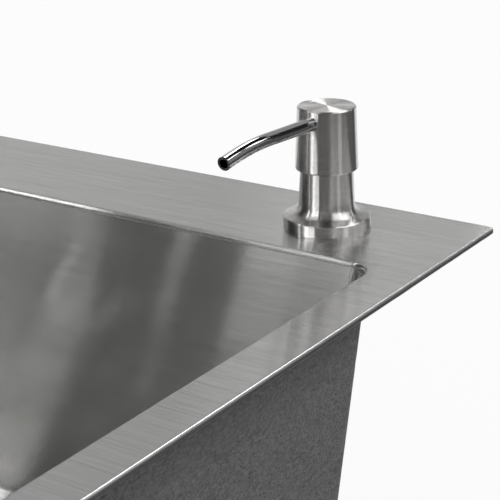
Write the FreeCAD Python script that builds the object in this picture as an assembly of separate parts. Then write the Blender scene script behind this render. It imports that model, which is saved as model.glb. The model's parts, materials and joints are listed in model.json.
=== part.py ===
import FreeCAD, Part
import math
import os

# Drop-in kitchen sink with a tap deck, a soap dispenser and a basket strainer.
# Millimetres. The origin is the middle of the worktop cut-out, in the plane of the plate's underside.
# +X runs along the sink to the right, +Y to the tap deck at the back, +Z up.

# Top plate
plate_width = 750.0
plate_depth = 450.0
plate_thickness = 3.0
plate_corner_radius = 3.0
plate_edge_bevel = 0.6
side_flange = 26.5
front_flange = 26.5
rear_deck = 86.0
opening_corner_radius = 13.5
opening_edge_radius = 2.0
deck_hole_inset = 42.0
tap_hole_diameter = 35.0

# Bowl
bowl_depth = 210.0
bowl_wall = 1.0
bowl_lip = 5.0
wall_draft = 4.1
floor_corner_radius = 24.0
floor_fillet = 14.0
floor_margin = 4.0
floor_fall = 5.0

# Drain seat in the bowl's floor
drain_hole_diameter = 90.0
drain_seat_width = 14.0
drain_seat_depth = 4.0
drain_seat_flare = 3.0
drain_land = 6.0

# Sound-deadening coat and pads
coat_thickness = 0.6
coat_drain_gap = 4.0
pad_thickness = 2.0
pad_length = 170.0
pad_width = 190.0
pad_drain_gap = 20.0
pad_corner_radius = 12.0

# Seal strip under the flange
seal_width = 8.0
seal_thickness = 2.0
seal_inset = 2.0

# Worktop clips
stud_diameter = 6.0
stud_length = 46.0
stud_edge_distance = 15.5
stud_weld_height = 1.5
stud_weld_width = 1.0
front_clip_inset = 135.0
rear_clip_inset = 155.0
claw_level = 32.0
claw_width = 18.0
claw_reach = 34.0
claw_thickness = 2.0
claw_tooth_height = 6.0
wing_nut_diameter = 12.0
wing_nut_height = 6.0
wing_span = 26.0
wing_thickness = 1.6
wing_drop = 4.0

# Strainer cup
cup_seat_gap = 2.0
cup_flange_thickness = 1.2
cup_wall = 1.2
cup_hole_gap = 1.0
cup_mouth_radius = 2.2
cup_ledge_depth = 12.0
cup_ledge_width = 2.5
cup_depth = 45.0
cup_cone_height = 8.0
cup_thread_tail = 4.0
outlet_thread_diameter = 47.8
outlet_bore_diameter = 38.0
outlet_length = 20.0
gasket_thickness = 1.5
gasket_margin = 1.0
washer_thickness = 3.0
washer_overlap = 12.0
slip_ring_thickness = 1.0
slip_ring_overlap = 10.0
locknut_height = 9.0
locknut_overlap = 9.0
locknut_lug_count = 6
locknut_lug_width = 11.0
locknut_lug_reach = 6.0

# Strainer basket
basket_sheet = 0.8
basket_rim_gap = 0.4
basket_wall_gap = 2.4
basket_taper = 4.0
basket_hole_diameter = 3.6
basket_hole_count = 20
basket_wall_hole_rows = 3
stopper_diameter = 52.0
stopper_foot_diameter = 41.0
stopper_edge = 4.0
stopper_gap = 0.3
post_diameter = 6.0
post_rise = 8.0
knob_diameter = 18.0
knob_foot_diameter = 10.0
knob_crown_diameter = 12.6
knob_height = 9.0
knob_belly_height = 4.0
stopper_nut_diameter = 14.0
stopper_nut_height = 4.0

# Dispenser on the deck
dispenser_side_distance = 81.0
collar_rim_diameter = 47.8
collar_rim_height = 6.1
collar_rim_edge = 0.5
collar_cone_angle = 16.0
collar_sweep_radius = 6.0
neck_foot_diameter = 30.6
neck_top_diameter = 29.0
neck_height = 34.0
shank_diameter = 26.0
shank_bore_diameter = 22.4
shank_socket_height = 24.0
shank_below_deck = 38.0
bottle_thread_diameter = 24.4
bottle_thread_length = 16.0
shank_hole_gap = 0.6
collar_seal_wire = 1.8
collar_seal_diameter = 36.0
shank_washer_diameter = 42.0
shank_washer_thickness = 2.5
shank_nut_width = 36.0
shank_nut_height = 8.0
thread_gap = 0.05

# Pump
pump_travel = 12.0
pump_stop_gap = 1.0
pump_bore_diameter = 17.6
pump_wall = 1.4
pump_flange_diameter = 27.0
pump_flange_thickness = 1.5
pump_floor_depth = 36.0
pump_floor_thickness = 1.0
ball_diameter = 5.6
ball_chamber_gap = 0.5
ball_chamber_depth = 6.5
ball_lip_diameter = 4.8
ball_seat_diameter = 3.6
ball_seat_gap = 0.05
nipple_diameter = 5.2
nipple_length = 16.0
dip_tube_diameter = 7.2
dip_tube_length = 95.0
guide_length = 7.5
guide_flange_diameter = 22.0
guide_flange_thickness = 1.5
stem_diameter = 8.0
stem_bore_diameter = 3.2
piston_height = 8.0
piston_gap = 0.3
piston_groove_width = 3.0
piston_groove_depth = 1.3
seal_bore_gap = 0.05
running_clearance = 0.08
spring_wire = 1.2
spring_mean_diameter = 12.4
spring_turns = 9

# Pump head
cap_top_diameter = 31.7
cap_foot_diameter = 34.4
cap_top_height = 66.9
cap_foot_height = 32.4
cap_wall = 1.2
cap_top_thickness = 1.8
cap_top_bevel = 0.7
cap_foot_round = 0.9
core_diameter = 24.0
stem_socket_depth = 6.0
spout_diameter = 7.3
spout_bore_diameter = 4.8
spout_exit_height = 59.6
spout_inner_reach = 5.5
spout_straight_reach = 58.0
spout_rise = 2.2
spout_droop = 8.0
spout_bend_radius = 162.0
spout_tip_length = 8.5
spout_hole_gap = 0.05
spout_channel_diameter = 2.4
spout_channel_overrun = 2.0

# Levels and places that follow from the sizes above
deck_top = plate_thickness
plate_front_y = -plate_depth / 2
plate_back_y = plate_depth / 2
opening_width = plate_width - 2 * side_flange
opening_depth = plate_depth - front_flange - rear_deck
opening_y = (front_flange - rear_deck) / 2
deck_hole_y = plate_back_y - deck_hole_inset
dispenser_x = plate_width / 2 - dispenser_side_distance
floor_z = deck_top - bowl_depth
floor_low_z = floor_z - floor_fall
seat_z = floor_low_z - drain_seat_depth
seat_under_z = seat_z - bowl_wall
drain_seat_diameter = drain_hole_diameter + 2 * drain_seat_width
draft_slope = math.tan(math.radians(wall_draft))
stud_radius = stud_diameter / 2
claw_top_z = -claw_level
claw_under_z = claw_top_z - claw_thickness
front_clip_y = plate_front_y + stud_edge_distance
rear_clip_y = plate_back_y - stud_edge_distance
front_clip_x = plate_width / 2 - front_clip_inset
rear_clip_x = plate_width / 2 - rear_clip_inset
spring_radius = spring_mean_diameter / 2

# Each clip: name, place of its stud, which way its claw points along X
clips = [
    ("clip_claw_front_left", -front_clip_x, front_clip_y, 1),
    ("clip_claw_front_middle", 0.0, front_clip_y, 1),
    ("clip_claw_front_right", front_clip_x, front_clip_y, -1),
    ("clip_claw_rear_left", -rear_clip_x, rear_clip_y, 1),
    ("clip_claw_rear_right", rear_clip_x, rear_clip_y, -1),
]

# Strainer levels
drain_radius = drain_hole_diameter / 2
cup_flange_radius = drain_seat_diameter / 2 - cup_seat_gap
washer_radius = drain_radius + washer_overlap
slip_ring_radius = drain_radius + slip_ring_overlap
locknut_radius = drain_radius + locknut_overlap
cup_flange_under_z = seat_z + gasket_thickness
cup_top_z = cup_flange_under_z + cup_flange_thickness
cup_outer_radius = drain_radius - cup_hole_gap
cup_inner_radius = cup_outer_radius - cup_wall
cup_ledge_z = cup_top_z - cup_ledge_depth
cup_ledge_radius = cup_inner_radius - cup_ledge_width
cup_bottom_z = cup_top_z - cup_depth
outlet_top_z = cup_bottom_z - cup_cone_height
outlet_bore_radius = outlet_bore_diameter / 2
outlet_end_z = outlet_top_z - cup_wall - outlet_length
washer_under_z = seat_under_z - washer_thickness
slip_ring_under_z = washer_under_z - slip_ring_thickness
locknut_under_z = slip_ring_under_z - locknut_height
thread_end_z = locknut_under_z - cup_thread_tail
cone_slope = cup_cone_height / (cup_ledge_radius - outlet_bore_radius)
basket_wall_radius = cup_ledge_radius - basket_wall_gap
basket_foot_radius = basket_wall_radius - basket_taper
stopper_radius = stopper_diameter / 2
stopper_foot_radius = stopper_foot_diameter / 2
stopper_lift = outlet_top_z + stopper_gap * math.sqrt(1 + cone_slope ** 2)
stopper_foot_z = stopper_lift + cone_slope * (stopper_foot_radius - outlet_bore_radius)
stopper_side_z = stopper_lift + cone_slope * (stopper_radius - outlet_bore_radius)
stopper_top_z = stopper_side_z + stopper_edge
basket_floor_z = stopper_top_z + basket_sheet
post_top_z = cup_top_z + post_rise
post_radius = post_diameter / 2

# Pump levels, from the deck's top face up
neck_top_z = deck_top + neck_height
shank_top_z = deck_top + shank_socket_height
shank_end_z = -shank_below_deck
pump_top_z = neck_top_z + pump_flange_thickness
pump_radius = pump_bore_diameter / 2
pump_floor_z = deck_top - pump_floor_depth
guide_under_z = pump_top_z - guide_length
piston_top_z = guide_under_z
piston_under_z = piston_top_z - piston_height
stem_radius = stem_diameter / 2
core_top_z = deck_top + cap_top_height - cap_top_thickness
core_under_z = pump_top_z + guide_flange_thickness + pump_travel + pump_stop_gap
stem_top_z = core_under_z + stem_socket_depth
ball_radius = ball_diameter / 2
ball_chamber_radius = ball_radius + ball_chamber_gap
ball_lip_radius = ball_lip_diameter / 2
ball_floor_z = pump_floor_z - ball_chamber_depth
ball_rest_height = math.sqrt(ball_radius ** 2 - (ball_seat_diameter / 2) ** 2)
ball_z = ball_floor_z + ball_rest_height + ball_seat_gap
nipple_end_z = ball_floor_z - pump_floor_thickness - nipple_length


def vec(x, y, z):
    return FreeCAD.Vector(x, y, z)


UP = vec(0, 0, 1)


def stadium_edges(width, depth, radius, z, y):
    """The four lines and four arcs of a rectangle with round corners, centred on X = 0."""
    right, back = width / 2, depth / 2
    corners = [(1, -1, -90), (1, 1, 0), (-1, 1, 90), (-1, -1, 180)]
    edges = []
    ends = []
    for side_x, side_y, start in corners:
        middle = vec(side_x * (right - radius), y + side_y * (back - radius), z)
        on_arc = []
        for angle in (start, start + 45, start + 90):
            turn = math.radians(angle)
            on_arc.append(middle + vec(radius * math.cos(turn), radius * math.sin(turn), 0))
        ends.append(on_arc)
    for index, on_arc in enumerate(ends):
        following = ends[(index + 1) % len(ends)]
        edges.append(Part.Arc(*on_arc).toShape())
        edges.append(Part.LineSegment(on_arc[2], following[0]).toShape())
    return edges


def rounded_rectangle(width, depth, radius, z, y=0.0):
    return Part.Wire(stadium_edges(width, depth, radius, z, y))


def rounded_block(width, depth, radius, z, height, y=0.0):
    """A plate with round corners that stands on z."""
    face = Part.Face(rounded_rectangle(width, depth, radius, z, y))
    return face.extrude(vec(0, 0, height))


def turned(points, x=0.0, y=0.0):
    """A solid of revolution about a vertical axis, from (radius, z) points.

    A point of three values is the middle of an arc: (radius, z, "arc").
    """
    edges = []
    place = [vec(x + p[0], y, p[1]) for p in points]
    marks = [len(p) == 3 for p in points]
    count = len(points)
    index = 0
    while index < count:
        following = (index + 1) % count
        if marks[following]:
            after = (index + 2) % count
            edges.append(Part.Arc(place[index], place[following], place[after]).toShape())
            index += 2
        else:
            edges.append(Part.LineSegment(place[index], place[following]).toShape())
            index += 1
    face = Part.Face(Part.Wire(edges))
    return face.revolve(vec(x, y, 0), UP, 360)


def ring(inner_radius, outer_radius, z, height, x=0.0, y=0.0):
    """A flat washer that stands on z."""
    centre = vec(x, y, z)
    outer = Part.makeCylinder(outer_radius, height, centre)
    return outer.cut(Part.makeCylinder(inner_radius, height, centre))


def hexagon(width, z, height, x, y):
    """A hexagonal prism that stands on z, from its width across the flats."""
    reach = width / 2 / math.cos(math.radians(30))
    corners = []
    for index in range(7):
        turn = math.radians(60 * index)
        corners.append(vec(x + reach * math.cos(turn), y + reach * math.sin(turn), z))
    return Part.Face(Part.makePolygon(corners)).extrude(vec(0, 0, height))


def rectangle_corners(width, depth, z, y):
    signs = [(-1, -1), (1, -1), (1, 1), (-1, 1)]
    return [vec(sx * width / 2, y + sy * depth / 2, z) for sx, sy in signs]


def frustum(top, bottom):
    """A closed solid of flat faces between two four-cornered outlines."""
    outlines = [top, bottom]
    for index in range(4):
        following = (index + 1) % 4
        outlines.append([top[index], top[following], bottom[following], bottom[index]])
    faces = [Part.Face(Part.makePolygon(corners + corners[:1])) for corners in outlines]
    return Part.Solid(Part.makeShell(faces))


def edges_at(shape, z):
    """The edges that lie in the level z."""
    found = []
    for edge in shape.Edges:
        box = edge.BoundBox
        if abs(box.ZMin - z) < 1e-4 and abs(box.ZMax - z) < 1e-4:
            found.append(edge)
    return found


def bowl_form(offset):
    """The bowl's inside with every face moved outwards by offset."""
    bottom_z = floor_z - offset
    grow = 2 * (offset + bottom_z * draft_slope)
    top = rounded_rectangle(
        opening_width + 2 * offset, opening_depth + 2 * offset, opening_corner_radius + offset, 0.0, opening_y
    )
    bottom = rounded_rectangle(
        opening_width + grow, opening_depth + grow, floor_corner_radius + offset, bottom_z, opening_y
    )
    tub = Part.makeLoft([top, bottom], True, True)
    tub = tub.makeFillet(floor_fillet + offset, edges_at(tub, bottom_z))
    inside_grow = 2 * floor_z * draft_slope
    inset = 2 * (floor_fillet + floor_margin)
    land = drain_seat_diameter + 2 * (drain_seat_flare + drain_land)
    falls_width = opening_width + inside_grow - inset
    falls_depth = opening_depth + inside_grow - inset
    falls = frustum(
        rectangle_corners(falls_width, falls_depth, bottom_z, opening_y),
        rectangle_corners(land, land, floor_low_z - offset, opening_y),
    )
    seat_radius = drain_seat_diameter / 2 + offset
    seat = Part.makeCone(
        seat_radius, seat_radius + drain_seat_flare, drain_seat_depth, vec(0, opening_y, seat_z - offset)
    )
    return tub.fuse([falls, seat]).removeSplitter()


def drain_cylinder(diameter):
    """A tall cylinder on the drain's axis, for cutting."""
    return Part.makeCylinder(diameter / 2, bowl_depth, vec(0, opening_y, outlet_end_z))


def make_deck_plate():
    plate = rounded_block(plate_width, plate_depth, plate_corner_radius, 0.0, plate_thickness)
    plate = plate.makeChamfer(plate_edge_bevel, edges_at(plate, deck_top))
    opening = rounded_block(
        opening_width, opening_depth, opening_corner_radius, 0.0, plate_thickness, opening_y
    )
    plate = plate.cut(opening)
    inner_edges = []
    for edge in edges_at(plate, deck_top):
        box = edge.BoundBox
        within_x = max(abs(box.XMin), abs(box.XMax)) < opening_width / 2 + plate_edge_bevel
        within_y = box.YMin > plate_front_y + front_flange / 2 and box.YMax < plate_back_y - rear_deck / 2
        if within_x and within_y:
            inner_edges.append(edge)
    plate = plate.makeFillet(opening_edge_radius, inner_edges)
    tap_hole = Part.makeCylinder(tap_hole_diameter / 2, plate_thickness, vec(0, deck_hole_y, 0))
    shank_hole = Part.makeCylinder(
        shank_diameter / 2 + shank_hole_gap, plate_thickness, vec(dispenser_x, deck_hole_y, 0)
    )
    return plate.cut([tap_hole, shank_hole])


def make_bowl(outside, inside):
    lip = rounded_block(
        opening_width + 2 * (bowl_wall + bowl_lip),
        opening_depth + 2 * (bowl_wall + bowl_lip),
        opening_corner_radius + bowl_wall + bowl_lip,
        -bowl_wall,
        bowl_wall,
        opening_y,
    )
    return outside.fuse(lip).cut([inside, drain_cylinder(drain_hole_diameter)])


def make_sound_coat(outside, coated):
    lip_band = rounded_block(plate_width, plate_depth, plate_corner_radius, -bowl_wall, bowl_wall)
    clear = drain_cylinder(max(drain_seat_diameter, 2 * washer_radius) + 2 * coat_drain_gap)
    return coated.cut([outside, lip_band, clear])


def make_floor_pads(coated, padded):
    """Two pads under the floor, one each side of the drain."""
    skin = padded.cut(coated)
    pads = []
    for side in (-1, 1):
        middle_x = side * (drain_seat_diameter / 2 + pad_drain_gap + pad_length / 2)
        height = floor_z - outlet_end_z
        prism = rounded_block(pad_length, pad_width, pad_corner_radius, outlet_end_z, height, opening_y)
        prism.translate(vec(middle_x, 0, 0))
        pads.append(skin.common(prism))
    return Part.makeCompound(pads)


def make_seal_strips():
    """Four lengths of foam tape, butted at the corners."""
    length_x = plate_width - 2 * seal_inset
    length_y = plate_depth - 2 * (seal_inset + seal_width)
    strips = []
    for side in (-1, 1):
        outer_y = side * (plate_depth / 2 - seal_inset)
        low_y = min(outer_y, outer_y - side * seal_width)
        corner = vec(-length_x / 2, low_y, -seal_thickness)
        strips.append(Part.makeBox(length_x, seal_width, seal_thickness, corner))
        outer_x = side * length_x / 2
        low_x = min(outer_x, outer_x - side * seal_width)
        corner = vec(low_x, -length_y / 2, -seal_thickness)
        strips.append(Part.makeBox(seal_width, length_y, seal_thickness, corner))
    return Part.makeCompound(strips)


def make_stud(x, y):
    weld_radius = stud_radius + stud_weld_width
    return turned(
        [
            (0, 0),
            (weld_radius, 0),
            (stud_radius, -stud_weld_height),
            (stud_radius, -stud_length),
            (0, -stud_length),
        ],
        x,
        y,
    )


def make_claw(x, y, way):
    """A swinging claw: round at its stud, with an upturned tooth at its tip."""
    half = claw_width / 2
    tip = way * claw_reach
    back_side = vec(0, half, claw_under_z)
    round_end = vec(-way * half, 0, claw_under_z)
    front_side = vec(0, -half, claw_under_z)
    front_tip = vec(tip, -half, claw_under_z)
    back_tip = vec(tip, half, claw_under_z)
    edges = [
        Part.Arc(back_side, round_end, front_side).toShape(),
        Part.LineSegment(front_side, front_tip).toShape(),
        Part.LineSegment(front_tip, back_tip).toShape(),
        Part.LineSegment(back_tip, back_side).toShape(),
    ]
    strip = Part.Face(Part.Wire(edges)).extrude(vec(0, 0, claw_thickness))
    tooth_start = min(tip, tip - way * claw_thickness)
    tooth = Part.makeBox(
        claw_thickness, claw_width, claw_tooth_height, vec(tooth_start, -half, claw_under_z)
    )
    hole = Part.makeCylinder(stud_radius + running_clearance, claw_thickness, vec(0, 0, claw_under_z))
    claw = strip.fuse(tooth).removeSplitter().cut(hole)
    claw.translate(vec(x, y, 0))
    return claw


def make_wing_nut(x, y):
    top = claw_under_z
    under = top - wing_nut_height
    body = Part.makeCylinder(wing_nut_diameter / 2, wing_nut_height, vec(0, 0, under))
    wing_corner = vec(-wing_span / 2, -wing_thickness / 2, under - wing_drop)
    wings = Part.makeBox(wing_span, wing_thickness, wing_nut_height, wing_corner)
    gap = Part.makeCylinder(wing_nut_diameter / 2, wing_drop, vec(0, 0, under - wing_drop))
    bore = Part.makeCylinder(stud_radius + thread_gap, wing_nut_height, vec(0, 0, under))
    nut = body.fuse(wings.cut(gap)).cut(bore)
    nut.translate(vec(x, y, 0))
    return nut


def make_strainer_cup():
    """Flange, cup with a ledge for the basket, and a threaded outlet below."""
    mouth = cup_mouth_radius
    bend = mouth * (1 - math.sqrt(0.5))
    lower_radius = cup_ledge_radius + cup_wall
    outlet_radius = outlet_thread_diameter / 2
    outlet_shoulder_z = outlet_top_z - cup_wall + cone_slope * (outlet_radius - outlet_bore_radius)
    return turned(
        [
            (cup_flange_radius, cup_flange_under_z),
            (cup_flange_radius, cup_top_z - cup_flange_thickness / 2),
            (cup_flange_radius - cup_flange_thickness / 2, cup_top_z),
            (cup_inner_radius + mouth, cup_top_z),
            (cup_inner_radius + bend, cup_top_z - bend, "arc"),
            (cup_inner_radius, cup_top_z - mouth),
            (cup_inner_radius, cup_ledge_z),
            (cup_ledge_radius, cup_ledge_z),
            (cup_ledge_radius, cup_bottom_z),
            (outlet_bore_radius, outlet_top_z),
            (outlet_bore_radius, outlet_end_z),
            (outlet_radius, outlet_end_z),
            (outlet_radius, outlet_shoulder_z),
            (lower_radius, cup_bottom_z - cup_wall),
            (lower_radius, thread_end_z),
            (cup_outer_radius, thread_end_z),
            (cup_outer_radius, cup_flange_under_z),
        ],
        0.0,
        opening_y,
    )


def make_locknut():
    inner_radius = cup_outer_radius + thread_gap
    nut = Part.makeCylinder(locknut_radius, locknut_height, vec(0, opening_y, locknut_under_z))
    lugs = []
    for index in range(locknut_lug_count):
        lug = Part.makeBox(
            locknut_radius + locknut_lug_reach,
            locknut_lug_width,
            locknut_height,
            vec(0, -locknut_lug_width / 2, locknut_under_z),
        )
        lug.rotate(vec(0, 0, 0), UP, 360 * index / locknut_lug_count)
        lug.translate(vec(0, opening_y, 0))
        lugs.append(lug)
    bore = Part.makeCylinder(inner_radius, locknut_height, vec(0, opening_y, locknut_under_z))
    return nut.fuse(lugs).removeSplitter().cut(bore)


def make_basket_cup():
    """A perforated cup that hangs from its rim on the strainer's ledge."""
    rim_radius = cup_inner_radius - basket_rim_gap
    cup = turned(
        [
            (post_radius, stopper_top_z),
            (basket_foot_radius, stopper_top_z),
            (basket_wall_radius, cup_ledge_z),
            (rim_radius, cup_ledge_z),
            (rim_radius, cup_ledge_z + basket_sheet),
            (basket_wall_radius - basket_sheet, cup_ledge_z + basket_sheet),
            (basket_foot_radius - basket_sheet, basket_floor_z),
            (post_radius, basket_floor_z),
        ],
        0.0,
        opening_y,
    )
    cuts = []
    row_pitch = (cup_ledge_z - basket_floor_z) / (basket_wall_hole_rows + 1)
    floor_ring_radius = (stopper_radius + basket_foot_radius - basket_sheet) / 2
    for index in range(basket_hole_count):
        for row in range(basket_wall_hole_rows):
            turn = 2 * math.pi * (index + 0.5 * (row % 2)) / basket_hole_count
            way = vec(math.cos(turn), math.sin(turn), 0)
            start = vec(0, opening_y, basket_floor_z + row_pitch * (row + 1))
            start += way * (basket_foot_radius - 2 * basket_sheet)
            cuts.append(Part.makeCylinder(basket_hole_diameter / 2, 2 * basket_taper, start, way))
        turn = 2 * math.pi * index / basket_hole_count
        start = vec(math.cos(turn), math.sin(turn), 0) * floor_ring_radius + vec(0, opening_y, stopper_top_z)
        cuts.append(Part.makeCylinder(basket_hole_diameter / 2, basket_sheet, start))
    return cup.cut(cuts)


def make_basket_post():
    """A post with a knob to lift the basket by."""
    knob_under_z = post_top_z - knob_height
    return turned(
        [
            (0, stopper_foot_z - stopper_nut_height),
            (post_radius, stopper_foot_z - stopper_nut_height),
            (post_radius, knob_under_z),
            (knob_foot_diameter / 2, knob_under_z),
            (knob_diameter / 2, knob_under_z + knob_belly_height, "arc"),
            (knob_crown_diameter / 2, post_top_z),
            (0, post_top_z),
        ],
        0.0,
        opening_y,
    )


def make_basket_stopper():
    return turned(
        [
            (post_radius, stopper_foot_z),
            (stopper_foot_radius, stopper_foot_z),
            (stopper_radius, stopper_side_z),
            (stopper_radius, stopper_top_z),
            (post_radius, stopper_top_z),
        ],
        0.0,
        opening_y,
    )


def make_stopper_nut():
    under = stopper_foot_z - stopper_nut_height
    nut = hexagon(stopper_nut_diameter, under, stopper_nut_height, 0.0, opening_y)
    return nut.cut(Part.makeCylinder(post_radius, stopper_nut_height, vec(0, opening_y, under)))


def make_dispenser_collar():
    """Rim on the deck, swept up into a slightly tapered neck, hollow for the shank and the pump."""
    rim_radius = collar_rim_diameter / 2
    foot_radius = neck_foot_diameter / 2
    cone = math.radians(collar_cone_angle)
    sweep_x = foot_radius + collar_sweep_radius
    sweep_end_x = sweep_x - collar_sweep_radius * math.sin(cone)
    cone_run = rim_radius - collar_rim_edge - sweep_end_x
    sweep_end_z = deck_top + collar_rim_height + cone_run * math.tan(cone)
    sweep_z = sweep_end_z + collar_sweep_radius * math.cos(cone)
    middle_turn = math.pi + (math.pi / 2 - cone) / 2
    sweep_middle = (
        sweep_x + collar_sweep_radius * math.cos(middle_turn),
        sweep_z + collar_sweep_radius * math.sin(middle_turn),
        "arc",
    )
    return turned(
        [
            (shank_diameter / 2 + thread_gap, deck_top),
            (rim_radius, deck_top),
            (rim_radius, deck_top + collar_rim_height - collar_rim_edge),
            (rim_radius - collar_rim_edge, deck_top + collar_rim_height),
            (sweep_end_x, sweep_end_z),
            sweep_middle,
            (foot_radius, sweep_z),
            (neck_top_diameter / 2, neck_top_z),
            (shank_bore_diameter / 2, neck_top_z),
            (shank_bore_diameter / 2, shank_top_z),
            (shank_diameter / 2 + thread_gap, shank_top_z),
        ],
        dispenser_x,
        deck_hole_y,
    ).cut(make_collar_seal())


def make_collar_seal():
    """A square-cut seal ring let into the underside of the collar's rim."""
    inner = collar_seal_diameter / 2 - collar_seal_wire / 2
    return ring(inner, inner + collar_seal_wire, deck_top, collar_seal_wire, dispenser_x, deck_hole_y)


def make_dispenser_shank():
    """A threaded tube through the deck, stepped in below for the bottle's thread."""
    bore = shank_bore_diameter / 2
    step_z = shank_end_z + bottle_thread_length
    return turned(
        [
            (bore, shank_end_z),
            (bottle_thread_diameter / 2, shank_end_z),
            (bottle_thread_diameter / 2, step_z),
            (shank_diameter / 2, step_z),
            (shank_diameter / 2, shank_top_z),
            (bore, shank_top_z),
        ],
        dispenser_x,
        deck_hole_y,
    )


def make_shank_washer():
    return ring(
        shank_diameter / 2 + thread_gap,
        shank_washer_diameter / 2,
        -shank_washer_thickness,
        shank_washer_thickness,
        dispenser_x,
        deck_hole_y,
    )


def make_shank_nut():
    under = -shank_washer_thickness - shank_nut_height
    nut = hexagon(shank_nut_width, under, shank_nut_height, dispenser_x, deck_hole_y)
    bore = Part.makeCylinder(
        shank_diameter / 2 + thread_gap, shank_nut_height, vec(dispenser_x, deck_hole_y, under)
    )
    return nut.cut(bore)


def make_pump_housing():
    """Pump cylinder with a flange on the neck, a ball chamber and a nipple for the dip tube."""
    outer = pump_radius + pump_wall
    seat = ball_seat_diameter / 2
    chamber_outer = ball_chamber_radius + pump_wall
    lip_z = pump_floor_z - pump_floor_thickness
    foot_z = ball_floor_z - pump_floor_thickness
    return turned(
        [
            (pump_radius, pump_top_z),
            (pump_flange_diameter / 2, pump_top_z),
            (pump_flange_diameter / 2, neck_top_z),
            (outer, neck_top_z),
            (outer, lip_z - pump_floor_thickness),
            (chamber_outer, lip_z - 2 * pump_floor_thickness),
            (chamber_outer, foot_z),
            (nipple_diameter / 2, foot_z),
            (nipple_diameter / 2, nipple_end_z),
            (seat, nipple_end_z),
            (seat, ball_floor_z),
            (ball_chamber_radius, ball_floor_z),
            (ball_chamber_radius, lip_z),
            (ball_lip_radius, lip_z),
            (ball_lip_radius, pump_floor_z),
            (pump_radius, pump_floor_z),
        ],
        dispenser_x,
        deck_hole_y,
    )


def make_pump_guide():
    bore = stem_radius + running_clearance
    return turned(
        [
            (bore, guide_under_z),
            (pump_radius, guide_under_z),
            (pump_radius, pump_top_z),
            (guide_flange_diameter / 2, pump_top_z),
            (guide_flange_diameter / 2, pump_top_z + guide_flange_thickness),
            (bore, pump_top_z + guide_flange_thickness),
        ],
        dispenser_x,
        deck_hole_y,
    )


def make_pump_stem():
    return ring(
        stem_bore_diameter / 2,
        stem_radius,
        piston_under_z,
        stem_top_z - piston_under_z,
        dispenser_x,
        deck_hole_y,
    )


piston_radius = pump_radius - piston_gap
groove_radius = piston_radius - piston_groove_depth
groove_under_z = piston_under_z + (piston_height - piston_groove_width) / 2
groove_top_z = groove_under_z + piston_groove_width


def make_pump_piston():
    return turned(
        [
            (stem_radius, piston_under_z),
            (piston_radius, piston_under_z),
            (piston_radius, groove_under_z),
            (groove_radius, groove_under_z),
            (groove_radius, groove_top_z),
            (piston_radius, groove_top_z),
            (piston_radius, piston_top_z),
            (stem_radius, piston_top_z),
        ],
        dispenser_x,
        deck_hole_y,
    )


def make_piston_seal():
    return ring(
        groove_radius,
        pump_radius - seal_bore_gap,
        groove_under_z,
        piston_groove_width,
        dispenser_x,
        deck_hole_y,
    )


def biarc(start, start_way, end, end_way):
    """Two tangent arcs from start to end that leave and arrive along the given directions."""
    chord = end - start
    ways = start_way + end_way
    bend = 2 * (1 - start_way.dot(end_way))
    along = chord.dot(ways)
    reach = (math.sqrt(along ** 2 + bend * chord.dot(chord)) - along) / bend
    first_corner = start + start_way * reach
    last_corner = end - end_way * reach
    joint = (first_corner + last_corner) * 0.5
    arcs = []
    for a, corner, b in ((start, first_corner, joint), (joint, last_corner, end)):
        middle = (a + b) * 0.5
        half = (b - a).Length / 2
        rise = corner - middle
        quarter_turn = math.atan2(rise.Length, half) / 2
        on_arc = middle + rise * (half * math.tan(quarter_turn) / rise.Length)
        arcs.append(Part.Arc(a, on_arc, b).toShape())
    return arcs


def make_return_spring():
    """A compression spring between the pump's floor and the piston."""
    wire_radius = spring_wire / 2
    low_z = pump_floor_z + wire_radius
    high_z = piston_under_z - wire_radius
    climb = (high_z - low_z) / (2 * math.pi * spring_turns)
    way_length = math.hypot(spring_radius, climb)
    points = []
    ways = []
    for index in range(4 * spring_turns + 1):
        turn = math.pi / 2 * index
        across = vec(math.cos(turn), math.sin(turn), 0) * spring_radius
        points.append(across + vec(dispenser_x, deck_hole_y, low_z + climb * turn))
        ways.append(vec(-across.y, across.x, climb) * (1 / way_length))
    edges = []
    for index in range(4 * spring_turns):
        edges += biarc(points[index], ways[index], points[index + 1], ways[index + 1])
    print("spring coil gap", round(climb * 2 * math.pi - spring_wire, 2))
    section = Part.Wire(Part.Circle(points[0], ways[0], wire_radius).toShape())
    return Part.Wire(edges).makePipeShell([section], True, False)


def make_inlet_ball():
    return Part.makeSphere(ball_radius, vec(dispenser_x, deck_hole_y, ball_z))


def make_dip_tube():
    top = ball_floor_z - pump_floor_thickness
    return ring(
        nipple_diameter / 2,
        dip_tube_diameter / 2,
        top - dip_tube_length,
        dip_tube_length,
        dispenser_x,
        deck_hole_y,
    )


def spout_path():
    """Centre line of the spout: a slightly rising run, a gentle bend and a short drooping tip."""
    rise = math.radians(spout_rise)
    droop = math.radians(spout_droop)
    axis_z = deck_top + spout_exit_height
    start = (spout_inner_reach, axis_z + spout_inner_reach * math.tan(rise))
    bend_start = (spout_straight_reach, axis_z + spout_straight_reach * math.tan(rise))
    centre = (
        bend_start[0] + spout_bend_radius * math.sin(rise),
        bend_start[1] - spout_bend_radius * math.cos(rise),
    )
    on_bend = []
    for lean in ((rise - droop) / 2, -droop):
        on_bend.append(
            (centre[0] - spout_bend_radius * math.sin(lean), centre[1] + spout_bend_radius * math.cos(lean))
        )
    tip = (
        on_bend[1][0] + spout_tip_length * math.cos(droop),
        on_bend[1][1] - spout_tip_length * math.sin(droop),
    )
    flat = [start, bend_start, on_bend[0], on_bend[1], tip]
    return [vec(dispenser_x, deck_hole_y - reach, z) for reach, z in flat]


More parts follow.
